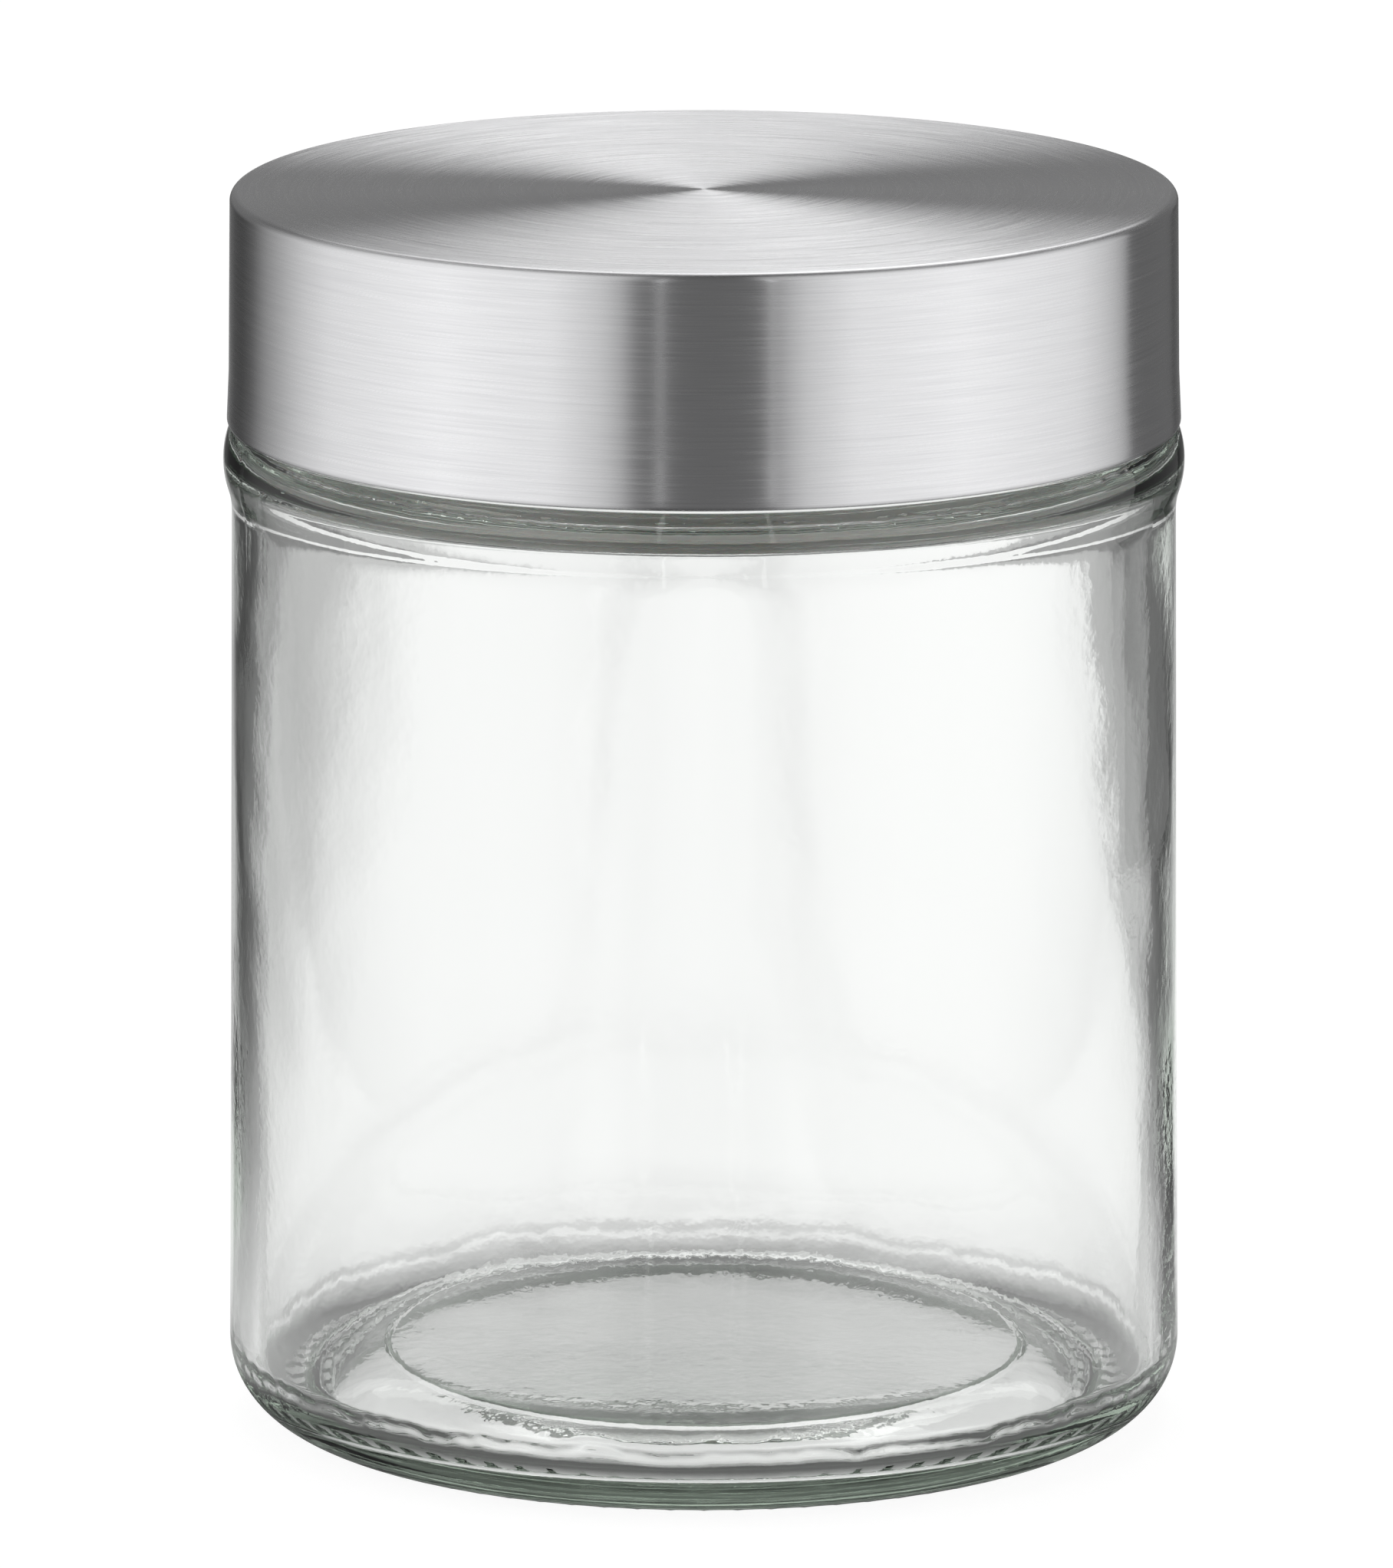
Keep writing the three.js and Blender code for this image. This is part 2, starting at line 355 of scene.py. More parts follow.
def lidRows():
    s = steelLid
    top, foot = shellHigh.z / mm, shellLow.z / mm + s["lift"]
    skirt = s["topRadius"] + s["taper"]
    hem = skirt + s["flare"]
    edgeR, edgeZ = s["topRadius"] - s["edge"], top - s["edge"]
    flareZ = foot + s["flareHeight"]
    rows = arcRow("steel", hem - s["hemRound"], foot + s["hemRound"], s["hemRound"], 270, 360, 6)
    rows += lineRow("steel", hem, foot + s["hemRound"], skirt, flareZ, 6)
    rows += lineRow("steel", skirt, flareZ, s["topRadius"], edgeZ, 14)
    rows += arcRow("steel", edgeR, edgeZ, s["edge"], 0, 90, 14)
    rows += lineRow("steel", edgeR, top, 0.0, top, 26)
    rows += lineRow("steel", 0.0, top - s["sheet"], edgeR, top - s["sheet"], 12)
    rows += arcRow("steel", edgeR, edgeZ, s["edge"] - s["sheet"], 90, 0, 8)
    rows += lineRow("steel", s["topRadius"] - s["sheet"], edgeZ, skirt - s["sheet"], flareZ, 8)
    rows += lineRow("steel", skirt - s["sheet"], flareZ, hem - s["sheet"], foot + s["sheet"], 4)
    rows += lineRow("steel", hem - s["sheet"], foot + s["sheet"], hem - s["hemDepth"], foot + s["sheet"], 3)
    rows += arcRow("steel", hem - s["hemDepth"], foot + s["sheet"] / 2, s["sheet"] / 2, 90, 270, 6)
    rows += lineRow("steel", hem - s["hemDepth"], foot, hem - s["hemRound"] - 0.1, foot, 3)
    return rows


lidPiece = spinMesh("lidSpunSteel", lidRows(), steelLid["columns"], plainShape, True)
print("steel lid:", len(lidPiece.data.vertices), "points")


# liner

liner = {
    "columns": 256,
    "outside": 54.3,
    "bore": 53.0,
    "edge": 0.8,
    "discUnder": 143.4,
    "plug": 45.6,
    "plugWall": 1.4,
    "plugReach": 1.2,
    "plugLip": 46.4,
    "lipLow": 0.6,  # heights of the lip's lower and upper edge, under the rim
    "lipHigh": 0.3,
    "lipLean": 0.2,
    "cornerRound": 0.4,  # inside corners under the disc
    "edgeRound": 0.3,  # free edges
}


def linerRows():
    p, s = liner, steelLid
    top, foot = linerHigh.z / mm, linerLow.z / mm + s["lift"]
    rimTop = jarHigh.z / mm
    flareZ = shellLow.z / mm + s["lift"] + s["flareHeight"]
    c, e = p["cornerRound"], p["edgeRound"]
    inner = p["plug"] - p["plugWall"]
    rows = lineRow("moulded", 0.0, p["discUnder"], inner - c, p["discUnder"], 12)
    rows += arcRow("moulded", inner - c, p["discUnder"] - c, c, 90, 0, 4)
    rows += lineRow("moulded", inner, p["discUnder"] - c, inner, rimTop - p["plugReach"] + e, 4)
    rows += arcRow("moulded", inner + e, rimTop - p["plugReach"] + e, e, 180, 270, 4)
    rows += lineRow("moulded", p["plug"], rimTop - p["plugReach"], p["plugLip"], rimTop - p["lipLow"], 3)
    rows += lineRow("moulded", p["plugLip"], rimTop - p["lipHigh"], p["plugLip"] - p["lipLean"], rimTop, 3)
    rows += lineRow("moulded", p["plug"], rimTop, p["plug"], p["discUnder"], 4)
    rows += lineRow("moulded", p["plug"], p["discUnder"], p["bore"] - c, p["discUnder"], 4)
    rows += arcRow("lugs", p["bore"] - c, p["discUnder"] - c, c, 90, 0, 4)
    rows += lineRow("lugs", p["bore"], p["discUnder"] - c, p["bore"], foot + e, 46)
    rows += arcRow("moulded", p["bore"] + e, foot + e, e, 180, 270, 4)
    hem = p["outside"] + s["taper"] + s["flare"]
    rows += arcRow("moulded", hem - e, foot + e, e, 270, 360, 4)
    rows += lineRow("moulded", hem, foot + e, p["outside"] + s["taper"], flareZ, 3)
    rows += lineRow("moulded", p["outside"] + s["taper"], flareZ, p["outside"], top - p["edge"], 6)
    rows += arcRow("moulded", p["outside"] - p["edge"], top - p["edge"], p["edge"], 0, 90, 6)
    rows += lineRow("moulded", p["outside"] - p["edge"], top, 0.0, top, 12)
    return rows


def linerShape(zone, r, z, turn):
    if zone == "lugs":
        middle = closure["rampMiddle"] - closure["lugDrop"]
        r -= ribHeight(z, turn, middle, closure["lugArc"])
    return r, z


linerPiece = spinMesh("lidMouldedInsert", linerRows(), liner["columns"], linerShape, False)
print("liner:", len(linerPiece.data.vertices), "points")


# seal ring

seal = {"columns": 192, "round": 0.5, "inside": 45.9, "outside": 52.0}


def sealRows():
    low, high = sealLow.z / mm, sealHigh.z / mm
    a, b, c = seal["inside"], seal["outside"], seal["round"]
    rows = arcRow("seal", b - c, low + c, c, -90, 0, 6)
    rows += arcRow("seal", b - c, high - c, c, 0, 90, 6)
    rows += arcRow("seal", a + c, high - c, c, 90, 180, 6)
    rows += arcRow("seal", a + c, low + c, c, 180, 270, 6)
    return rows


sealPiece = spinMesh("sealSiliconeRing", sealRows(), seal["columns"], plainShape, True)
print("seal:", len(sealPiece.data.vertices), "points")


# materials

glassFinish = {
    "peel": 1.6,  # mm between the small waves of the blown glass
    "peelHeight": 0.008,
    "peelFoot": 0.007,  # stronger low down, where the glass chilled first
    "footHeight": 16.0,
    "footFade": 0.7,  # share of that height below which the stronger waves are full
    "tint": "c6d7c7",  # colour that thick glass takes on
    "tintDensity": 16.0,
}


def clearSodaLimeGlass():
    # pressed and blown, fire-polished: clear, faintly green where the eye looks through a lot of it
    material, tree = newMaterial("sodaLimeGlassFirePolished")
    f = glassFinish
    place = addNode(tree, "ShaderNodeTexCoord")
    axes = addNode(tree, "ShaderNodeSeparateXYZ", None, {0: place.outputs["Object"]})
    waves = addNode(tree, "ShaderNodeTexNoise", {"Scale": 1 / (f["peel"] * mm), "Detail": 2.0},
                    {"Vector": place.outputs["Object"]})
    depth = addNode(tree, "ShaderNodeMapRange",
                    {"From Min": f["footHeight"] * mm * f["footFade"], "From Max": f["footHeight"] * mm,
                     "To Min": f["peelFoot"] * mm, "To Max": f["peelHeight"] * mm},
                    {"Value": axes.outputs["Z"]})
    relief = addNode(tree, "ShaderNodeMath", {"operation": "MULTIPLY"},
                     {0: waves.outputs["Fac"], 1: depth.outputs["Result"]})
    bump = addNode(tree, "ShaderNodeBump", {"Strength": 1.0, "Distance": 1.0}, {"Height": relief.outputs[0]})
    glass = addNode(tree, "ShaderNodeBsdfPrincipled",
                    {"Base Color": (1, 1, 1, 1), "Roughness": 0.0, "IOR": 1.52, "Transmission Weight": 1.0},
                    {"Normal": bump.outputs["Normal"]})
    tint = addNode(tree, "ShaderNodeVolumeAbsorption",
                   {"Color": toLinear(f["tint"]), "Density": f["tintDensity"]})
    addNode(tree, "ShaderNodeOutputMaterial", None,
            {"Surface": glass.outputs[0], "Volume": tint.outputs[0]})
    return material


steelFinish = {
    "lineWidth": 0.22,  # mm; real lines are finer, drawn as coarse as they need to show
    "lineLength": 14.0,
    "roughLow": 0.2,
    "roughHigh": 0.3,
    "anisotropy": 1.0,
    "toneLow": "c0c0c2",
    "toneHigh": "e6e6e7",
    "hemShadeTone": 0.5,  # painted shade: the rolled edge's colour is darkened so that it mirrors no bright line
    "hemBand": 0.6,  # mm over which that fades
}


def brushedStainlessSteel():
    # spun against fine grit: lines run round the axis, so light spreads across them
    # and stays sharp along them
    material, tree = newMaterial("stainlessSteelSpinBrushed")
    f = steelFinish
    along, thick = 1 / (f["lineLength"] * mm), 1 / (f["lineWidth"] * mm)
    place = addNode(tree, "ShaderNodeTexCoord")
    axes = addNode(tree, "ShaderNodeSeparateXYZ", None, {0: place.outputs["Object"]})
    flat = addNode(tree, "ShaderNodeCombineXYZ", None, {"X": axes.outputs["X"], "Y": axes.outputs["Y"]})
    radius = addNode(tree, "ShaderNodeVectorMath", {"operation": "LENGTH"}, {0: flat.outputs[0]})
    across = addNode(tree, "ShaderNodeMath", {"operation": "SUBTRACT"},
                     {0: radius.outputs["Value"], 1: axes.outputs["Z"]})
    brush = addNode(tree, "ShaderNodeCombineXYZ", None,
                    {"X": axes.outputs["X"], "Y": axes.outputs["Y"], "Z": across.outputs[0]})
    stretched = addNode(tree, "ShaderNodeVectorMath", {"operation": "MULTIPLY", 1: (along, along, thick)},
                        {0: brush.outputs[0]})
    lines = addNode(tree, "ShaderNodeTexNoise", {"Scale": 1.0, "Detail": 3.0, "Roughness": 0.6},
                    {"Vector": stretched.outputs[0]})
    rough = addNode(tree, "ShaderNodeMapRange",
                    {"From Min": 0.25, "From Max": 0.75, "To Min": f["roughLow"], "To Max": f["roughHigh"]},
                    {"Value": lines.outputs["Fac"]})
    grit = addNode(tree, "ShaderNodeMix",
                   {"data_type": "RGBA", "A": toLinear(f["toneLow"]), "B": toLinear(f["toneHigh"])},
                   {"Factor": lines.outputs["Fac"]})
    # painted shade: the steel's colour darkens towards the rolled edge of the hem
    hem = shellLow.z + steelLid["lift"] * mm
    paintedHemShade = addNode(tree, "ShaderNodeMapRange",
                   {"From Min": hem, "From Max": hem + f["hemBand"] * mm, "To Min": f["hemShadeTone"]},
                   {"Value": axes.outputs["Z"]})
    tone = addNode(tree, "ShaderNodeVectorMath", {"operation": "SCALE"},
                   {0: grit.outputs["Result"], "Scale": paintedHemShade.outputs["Result"]})
    bump = addNode(tree, "ShaderNodeBump", {"Strength": 0.10, "Distance": 0.01 * mm},
                   {"Height": lines.outputs["Fac"]})
    tangent = addNode(tree, "ShaderNodeTangent", {"direction_type": "RADIAL", "axis": "Z"})
    steel = addNode(tree, "ShaderNodeBsdfPrincipled",
                    {"Metallic": 1.0, "Anisotropic": f["anisotropy"], "Anisotropic Rotation": 0.25},
                    {"Base Color": tone.outputs[0], "Roughness": rough.outputs["Result"],
                     "Normal": bump.outputs["Normal"], "Tangent": tangent.outputs[0]})
    addNode(tree, "ShaderNodeOutputMaterial", None, {"Surface": steel.outputs[0]})
    return material


def mouldedPolypropylene():
    # natural white, injection moulded: milky, with a soft sheen and a faint spark-eroded grain
    material, tree = newMaterial("polypropyleneNaturalMoulded")
    grain = 0.6  # mm
    place = addNode(tree, "ShaderNodeTexCoord")
    specks = addNode(tree, "ShaderNodeTexNoise", {"Scale": 1 / (grain * mm), "Detail": 2.0},
                     {"Vector": place.outputs["Object"]})
    tone = addNode(tree, "ShaderNodeMix",
                   {"data_type": "RGBA", "A": toLinear("e2e1dc"), "B": toLinear("ecebe7")},
                   {"Factor": specks.outputs["Fac"]})
    rough = addNode(tree, "ShaderNodeMapRange", {"To Min": 0.38, "To Max": 0.5},
                    {"Value": specks.outputs["Fac"]})
    bump = addNode(tree, "ShaderNodeBump", {"Strength": 0.15, "Distance": 0.02 * mm},
                   {"Height": specks.outputs["Fac"]})
    plastic = addNode(tree, "ShaderNodeBsdfPrincipled",
                      {"IOR": 1.49, "Subsurface Weight": 0.25, "Subsurface Scale": 0.002},
                      {"Base Color": tone.outputs["Result"], "Roughness": rough.outputs["Result"],
                       "Normal": bump.outputs["Normal"]})
    addNode(tree, "ShaderNodeOutputMaterial", None, {"Surface": plastic.outputs[0]})
    return material


def translucentSilicone():
    # pressed silicone: soft, slightly cloudy, with a dry matt skin
    material, tree = newMaterial("siliconeTranslucentPressed")
    grain = 0.9  # mm
    place = addNode(tree, "ShaderNodeTexCoord")
    cloud = addNode(tree, "ShaderNodeTexNoise", {"Scale": 1 / (grain * mm), "Detail": 3.0},
                    {"Vector": place.outputs["Object"]})
    tone = addNode(tree, "ShaderNodeMix",
                   {"data_type": "RGBA", "A": toLinear("d9dad7"), "B": toLinear("e6e7e4")},
                   {"Factor": cloud.outputs["Fac"]})
    rough = addNode(tree, "ShaderNodeMapRange", {"To Min": 0.5, "To Max": 0.65},
                    {"Value": cloud.outputs["Fac"]})
    rubber = addNode(tree, "ShaderNodeBsdfPrincipled",
                     {"IOR": 1.41, "Subsurface Weight": 0.4, "Subsurface Scale": 0.0015},
                     {"Base Color": tone.outputs["Result"], "Roughness": rough.outputs["Result"]})
    addNode(tree, "ShaderNodeOutputMaterial", None, {"Surface": rubber.outputs[0]})
    return material


fits = (
    (glassPiece, "jar", "glass_jar", "clear_glass", clearSodaLimeGlass()),
    (lidPiece, "lid", "lid_shell", "brushed_stainless", brushedStainlessSteel()),
    (linerPiece, "lid", "lid_liner", "polypropylene", mouldedPolypropylene()),
    (sealPiece, "seal", "seal_ring", "silicone", translucentSilicone()),
)
for piece, body, node, slot, material in fits:
    piece.data.materials.append(material)
    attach(piece, body)
    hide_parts(node)
print("pieces dressed:", [piece.name for piece, *rest in fits])


# studio

studio = {
    "floorSize": 8.0,  # metres
    "floorGlow": 0.9,  # share of the floor's white that doesn't depend on the lamps
    "floorPaper": 0.18,
    "sideStart": 52.0,  # mm from the middle, where the painted shade on the paper beside the jar starts
    "sideSlant": (0.3, 0.4),  # it spreads from there, mm sideways for each mm away from the jar
    "sideNear": 20.0,
    "frontEdge": (-66.0, -58.0),  # mm, between the paper in front of the jar and the sweep behind it
    "beadCard": (170, 160, 104, 130),  # half width, mm behind the jar's middle, low and high edge
    "beadTone": 0.95,  # that strip of card shows through the bead's lower edge
    "topTone": 2.2,  # ceiling that shows through the glass
    "topDark": 0.08,  # what the steel mirrors overhead
    "topLean": (0.14, 0.3, 1.0),  # the ceiling reaches lower on the right and behind the jar
    "topLow": 0.7,
    "topHigh": 0.88,
    "clearLow": 0.84,  # where that ceiling starts, as topLow is for what the steel mirrors
    "clearHigh": 0.95,
    "topLight": 1.2,  # lamp overhead, with its place, aim and size in metres
    "topPlace": (0.0, 0.15, 1.0),
    "topAim": (0.0, 0.0, 0.14),
    "topSize": 0.9,
    "backTurn": 7.0,  # soft light behind that the steel mirrors, degrees to the right
    "backRise": 43.0,
    "backReach": 24.5,
    "backLight": 2.8,
    # tones of the room, and painted light and shade on the paper, by direction round the jar, degrees from
    # the camera's side
    "roomTones": ((0, 0.17), (13, 0.18), (16, 0.24), (19, 0.55), (24, 0.8), (36, 1.1), (64, 1.26),
                  (100, 1.03), (118, 0.7), (130, 0.4), (140, 0.18), (165, 0.19), (180, 0.24)),
    "paperTones": ((0, 0.17), (13, 0.18), (16, 0.24), (19, 0.55), (24, 0.8), (36, 1.1), (64, 1.26),
                   (100, 1.03), (110, 0.82), (120, 0.55), (130, 0.33), (138, 0.13), (146, 0.06),
                   (165, 0.06), (180, 0.3)),
    # cards: name, mm from the jar, turns from and to, mm high, tone
    "cards": (("cardRight", 350, 116, 148, 500, 0.16), ("edgeLeft", 2500, -10.9, -9.7, 2500, 1.8),
              ("edgeRight", 2500, 15.3, 16.5, 2500, 1.8), ("backdrop", 3900, 174, 186, 250, 1.0)),
    # painted shadow of the jar on the paper, by distance in mm from its axis
    "paintedFootShadow": ((0, 0.93), (38, 0.93), (43, 0.78), (47, 0.45), (50, 0.15), (55, 0.1), (58, 0.2),
                  (62, 0.42), (68, 0.57), (76, 0.71), (86, 0.85), (100, 0.95), (120, 1.0)),
    # painted shade on the paper behind the jar, mm from left to right
    "sweepTones": ((-200, 0.11), (-150, 0.47), (-110, 0.45), (-92, 0.56), (-78, 0.72), (-60, 0.87),
                   (-40, 0.88), (-22, 0.89), (-15, 0.96), (15, 0.97), (22, 0.91), (45, 0.91), (60, 0.92),
                   (85, 0.92), (98, 0.86), (110, 0.42), (150, 0.36), (170, 0.14), (200, 0.11)),
}


def glowMaterial(name, tone):
    material, tree = newMaterial(name)
    glow = addNode(tree, "ShaderNodeEmission", {"Color": (tone, tone, tone, 1), "Strength": 1.0})
    addNode(tree, "ShaderNodeOutputMaterial", None, {"Surface": glow.outputs[0]})
    return material


def stagePlane(name, corners, material):
    mesh = bpy.data.meshes.new(name)
    mesh.from_pydata([Vector(c) * mm for c in corners], [], [(0, 1, 2, 3)])
    plane = bpy.data.objects.new(name, mesh)
    mesh.materials.append(material)
    bpy.context.scene.collection.objects.link(plane)
    return plane


def addRamp(tree, stops, source):  # stops run from 0 to 1, tones may pass 1
    ramp = addNode(tree, "ShaderNodeValToRGB", None, {"Fac": source})
    elements = ramp.color_ramp.elements
    elements.remove(elements[1])
    for i, (place, tone) in enumerate(stops):
        stop = elements[0] if i == 0 else elements.new(place)
        stop.position = place
        stop.color = (tone, tone, tone, 1)
    return ramp.outputs["Color"]


def toneAround(tree, axes, tones):  # tone by direction round the jar, whose cosine runs the ramp
    flat = addNode(tree, "ShaderNodeCombineXYZ", None, {"X": axes.outputs["X"], "Y": axes.outputs["Y"]})
    unit = addNode(tree, "ShaderNodeVectorMath", {"operation": "NORMALIZE"}, {0: flat.outputs[0]})
    parts = addNode(tree, "ShaderNodeSeparateXYZ", None, {0: unit.outputs[0]})
    share = addNode(tree, "ShaderNodeMapRange", {"From Min": -1.0, "From Max": 1.0},
                    {"Value": parts.outputs["Y"]})
    stops = [((1 - math.cos(math.radians(turn))) / 2, tone) for turn, tone in tones]
    return addRamp(tree, stops, share.outputs["Result"])


def makeFloor():
    material, tree = newMaterial("paperSweepWhite")
    path = addNode(tree, "ShaderNodeLightPath")
    place = addNode(tree, "ShaderNodeNewGeometry")
    axes = addNode(tree, "ShaderNodeSeparateXYZ", None, {0: place.outputs["Position"]})
    # painted light and shade on the paper, which only the glass and the steel see
    around = toneAround(tree, axes, studio["paperTones"])
    wide = studio["sweepTones"][-1][0]
    share = addNode(tree, "ShaderNodeMapRange", {"From Min": -wide * mm, "From Max": wide * mm},
                    {"Value": axes.outputs["X"]})
    stops = [((x + wide) / (2 * wide), tone) for x, tone in studio["sweepTones"]]
    sweep = addRamp(tree, stops, share.outputs["Result"])
    aside = addNode(tree, "ShaderNodeMath", {"operation": "ABSOLUTE"}, {0: axes.outputs["X"]})
    clear = addNode(tree, "ShaderNodeMath", {"operation": "SUBTRACT", 1: studio["sideStart"] * mm},
                    {0: aside.outputs[0]})
    level = addNode(tree, "ShaderNodeMath", {"operation": "ABSOLUTE"}, {0: axes.outputs["Y"]})
    depth = addNode(tree, "ShaderNodeMath", {"operation": "MAXIMUM", 1: studio["sideNear"] * mm},
                    {0: level.outputs[0]})
    slant = addNode(tree, "ShaderNodeMath", {"operation": "DIVIDE"},
                    {0: clear.outputs[0], 1: depth.outputs[0]})
    light, dark = studio["sideSlant"]
    outside = addNode(tree, "ShaderNodeMapRange", {"From Min": light, "From Max": dark},
                      {"Value": slant.outputs[0]})
    front, sweepStart = [y * mm for y in studio["frontEdge"]]
    behind = addNode(tree, "ShaderNodeMapRange", {"From Min": front, "From Max": sweepStart},
                     {"Value": axes.outputs["Y"]})
    back = addNode(tree, "ShaderNodeMix", {"data_type": "RGBA"},
                   {"Factor": outside.outputs["Result"], "A": sweep, "B": around})
    # seen through the glass, the paper in front of the jar is as clear as the paper behind it
    swept = addNode(tree, "ShaderNodeMath", {"operation": "MAXIMUM"},
                    {0: behind.outputs["Result"], 1: path.outputs["Is Transmission Ray"]})
    tone = addNode(tree, "ShaderNodeMix", {"data_type": "RGBA"},
                   {"Factor": swept.outputs[0], "A": around, "B": back.outputs["Result"]})
    # painted shadow: the paper darkens near the jar's foot where the glass and the steel see it
    reach = addNode(tree, "ShaderNodeVectorMath", {"operation": "LENGTH"}, {0: place.outputs["Position"]})
    far = studio["paintedFootShadow"][-1][0]
    near = addNode(tree, "ShaderNodeMapRange", {"From Max": far * mm}, {"Value": reach.outputs["Value"]})
    shade = addRamp(tree, [(r / far, tone) for r, tone in studio["paintedFootShadow"]], near.outputs["Result"])
    shaded = addNode(tree, "ShaderNodeVectorMath", {"operation": "MULTIPLY"},
                     {0: tone.outputs["Result"], 1: shade})
    # looked at straight, or lighting the room, the paper is plain white
    straight = addNode(tree, "ShaderNodeMath", {"operation": "MAXIMUM"},
                       {0: path.outputs["Is Camera Ray"], 1: path.outputs["Is Diffuse Ray"]})
    white = addNode(tree, "ShaderNodeMix", {"data_type": "RGBA", "B": (1, 1, 1, 1)},
                    {"Factor": straight.outputs[0], "A": shaded.outputs[0]})
    glow = addNode(tree, "ShaderNodeEmission", {"Strength": studio["floorGlow"]},
                   {"Color": white.outputs["Result"]})
    dimmed = addNode(tree, "ShaderNodeVectorMath", {"operation": "SCALE", "Scale": studio["floorPaper"]},
                     {0: white.outputs["Result"]})
    paper = addNode(tree, "ShaderNodeBsdfDiffuse", None, {"Color": dimmed.outputs[0]})
    lit = addNode(tree, "ShaderNodeAddShader", None, {0: paper.outputs[0], 1: glow.outputs[0]})
    addNode(tree, "ShaderNodeOutputMaterial", None, {"Surface": lit.outputs[0]})
    half = studio["floorSize"] / 2 / mm
    corners = [(-half, -half, 0), (half, -half, 0), (half, half, 0), (-half, half, 0)]
    return stagePlane("floor", corners, material)


def makeWorld():
    world = bpy.data.worlds.new("studioRoom")
    bpy.context.scene.world = world
    world.use_nodes = True
    tree = world.node_tree
    tree.nodes.clear()
    path = addNode(tree, "ShaderNodeLightPath")
    place = addNode(tree, "ShaderNodeTexCoord")
    axes = addNode(tree, "ShaderNodeSeparateXYZ", None, {0: place.outputs["Generated"]})
    around = toneAround(tree, axes, studio["roomTones"])
    leaned = addNode(tree, "ShaderNodeVectorMath", {"operation": "DOT_PRODUCT", 1: studio["topLean"]},
                     {0: place.outputs["Generated"]})
    high = addNode(tree, "ShaderNodeMapRange", {"From Min": studio["topLow"], "From Max": studio["topHigh"]},
                   {"Value": leaned.outputs["Value"]})
    higher = addNode(tree, "ShaderNodeMapRange",
                     {"From Min": studio["clearLow"], "From Max": studio["clearHigh"]},
                     {"Value": leaned.outputs["Value"]})
    top, dark = [(*[studio[name]] * 3, 1) for name in ("topTone", "topDark")]
    mirror = addNode(tree, "ShaderNodeMix", {"data_type": "RGBA", "B": dark},
                     {"Factor": high.outputs["Result"], "A": around})
    through = addNode(tree, "ShaderNodeMix", {"data_type": "RGBA", "B": top},
                      {"Factor": higher.outputs["Result"], "A": around})
    room = addNode(tree, "ShaderNodeMix", {"data_type": "RGBA"},
                   {"Factor": path.outputs["Is Transmission Ray"], "A": mirror.outputs["Result"],
                    "B": through.outputs["Result"]})
    turn, rise = math.radians(studio["backTurn"]), math.radians(studio["backRise"])
    away = (math.sin(turn) * math.cos(rise), math.cos(turn) * math.cos(rise), math.sin(rise))
    facing = addNode(tree, "ShaderNodeVectorMath", {"operation": "DOT_PRODUCT", 1: away},
                     {0: place.outputs["Generated"]})
    edge = math.cos(math.radians(studio["backReach"]))
    spot = addNode(tree, "ShaderNodeMapRange", {"From Min": edge, "To Max": studio["backLight"]},
                   {"Value": facing.outputs["Value"]})
    mirrored = addNode(tree, "ShaderNodeMath", {"operation": "MULTIPLY"},
                       {0: spot.outputs["Result"], 1: path.outputs["Is Reflection Ray"]})
    lit = addNode(tree, "ShaderNodeVectorMath", {"operation": "ADD"},
                  {0: room.outputs["Result"], 1: mirrored.outputs[0]})
    seen = addNode(tree, "ShaderNodeMix", {"data_type": "RGBA", "B": (1, 1, 1, 1)},
                   {"Factor": path.outputs["Is Camera Ray"], "A": lit.outputs[0]})
    light = addNode(tree, "ShaderNodeBackground", None, {"Color": seen.outputs["Result"]})
    addNode(tree, "ShaderNodeOutputWorld", None, {"Surface": light.outputs[0]})


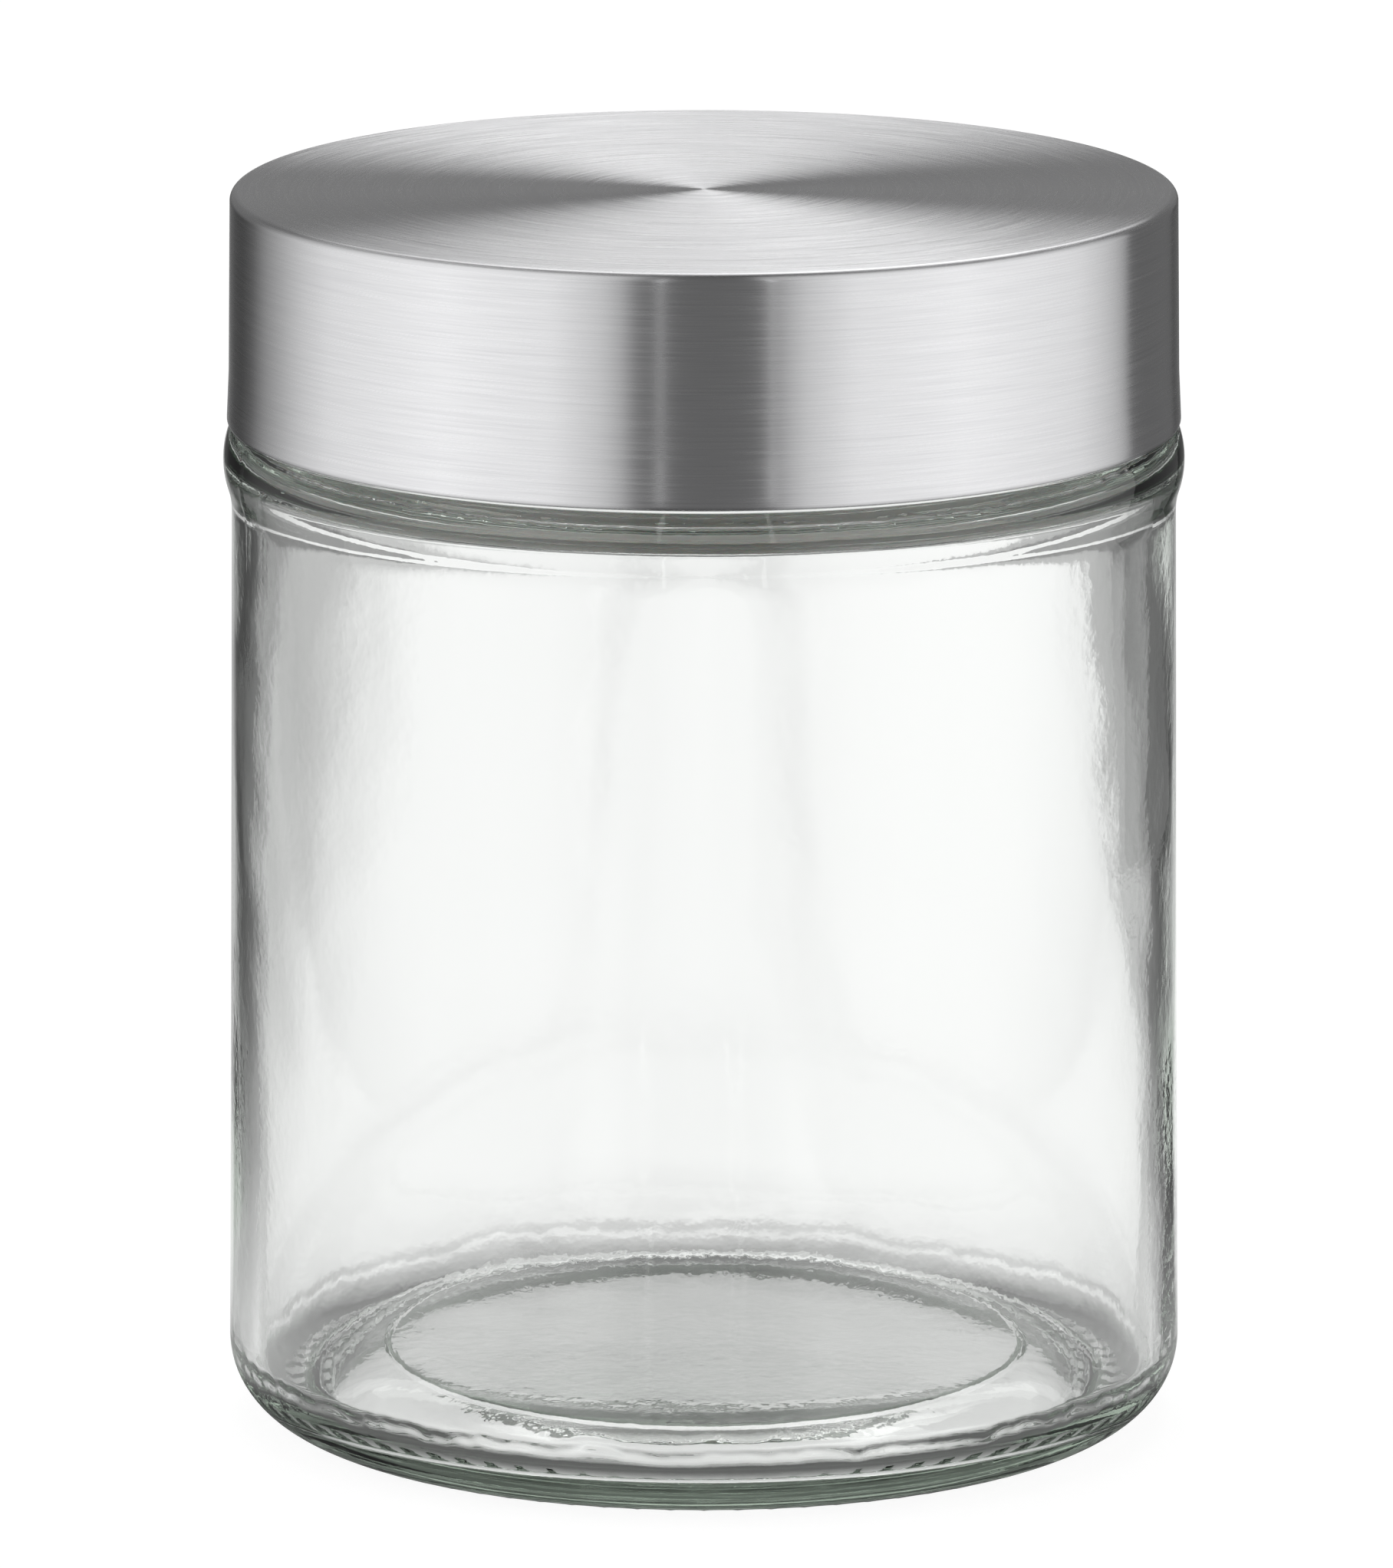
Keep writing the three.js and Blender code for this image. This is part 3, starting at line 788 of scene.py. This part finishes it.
def addSoftbox(name, place, target, width, height, radiance):
    lamp = bpy.data.lights.new(name, "AREA")
    lamp.shape = "RECTANGLE"
    lamp.size = width
    lamp.size_y = height
    lamp.energy = radiance * math.pi * width * height
    box = bpy.data.objects.new(name, lamp)
    bpy.context.scene.collection.objects.link(box)
    box.location = place
    box.rotation_euler = (Vector(target) - Vector(place)).to_track_quat("-Z", "Y").to_euler()
    box.visible_camera = False
    return box


def addCard(name, reach, low, high, tall, tone):  # upright, between two turns from the camera's side
    ends = [(reach * math.sin(math.radians(t)), -reach * math.cos(math.radians(t))) for t in (low, high)]
    (x0, y0), (x1, y1) = ends
    corners = [(x0, y0, 1), (x1, y1, 1), (x1, y1, tall), (x0, y0, tall)]
    card = stagePlane(name, corners, glowMaterial(name, tone))
    card.visible_camera = False
    return card


makeFloor()
makeWorld()
size = studio["topSize"]
softboxTop = addSoftbox("softboxTop", studio["topPlace"], studio["topAim"], size, size, studio["topLight"])
softboxTop.visible_glossy = False
for card in studio["cards"]:
    addCard(*card)
half, back, low, high = studio["beadCard"]
stripCorners = [(-half, back, low), (half, back, low), (half, back, high), (-half, back, high)]
behindBead = stagePlane("cardBehindBead", stripCorners, glowMaterial("cardBehindBead", studio["beadTone"]))
behindBead.visible_camera = False
behindBead.visible_glossy = False
print("studio set")


# camera

camera = {
    "lens": 320.0,
    "sensor": 36.0,
    "clipEnd": 50.0,  # metres
    "distance": 1595.5,  # from the jar's axis, level
    "height": 429.1,
    "tilt": 12.513,  # degrees down
    "aside": -0.87,
}
eye = bpy.data.objects.new("camera", bpy.data.cameras.new("camera"))
bpy.context.scene.collection.objects.link(eye)
eye.data.lens = camera["lens"]
eye.data.sensor_width = camera["sensor"]
eye.data.clip_end = camera["clipEnd"]
eye.location = (camera["aside"] * mm, -camera["distance"] * mm, camera["height"] * mm)
eye.rotation_euler = (math.radians(90 - camera["tilt"]), 0.0, 0.0)
bpy.context.scene.camera = eye
bpy.context.scene.view_settings.view_transform = "Standard"
print("camera set")

# thick glass passes light on many times before it leaves
bounces = {"max_bounces": 32, "transmission_bounces": 32, "glossy_bounces": 16}
for name, count in bounces.items():
    setattr(bpy.context.scene.cycles, name, count)
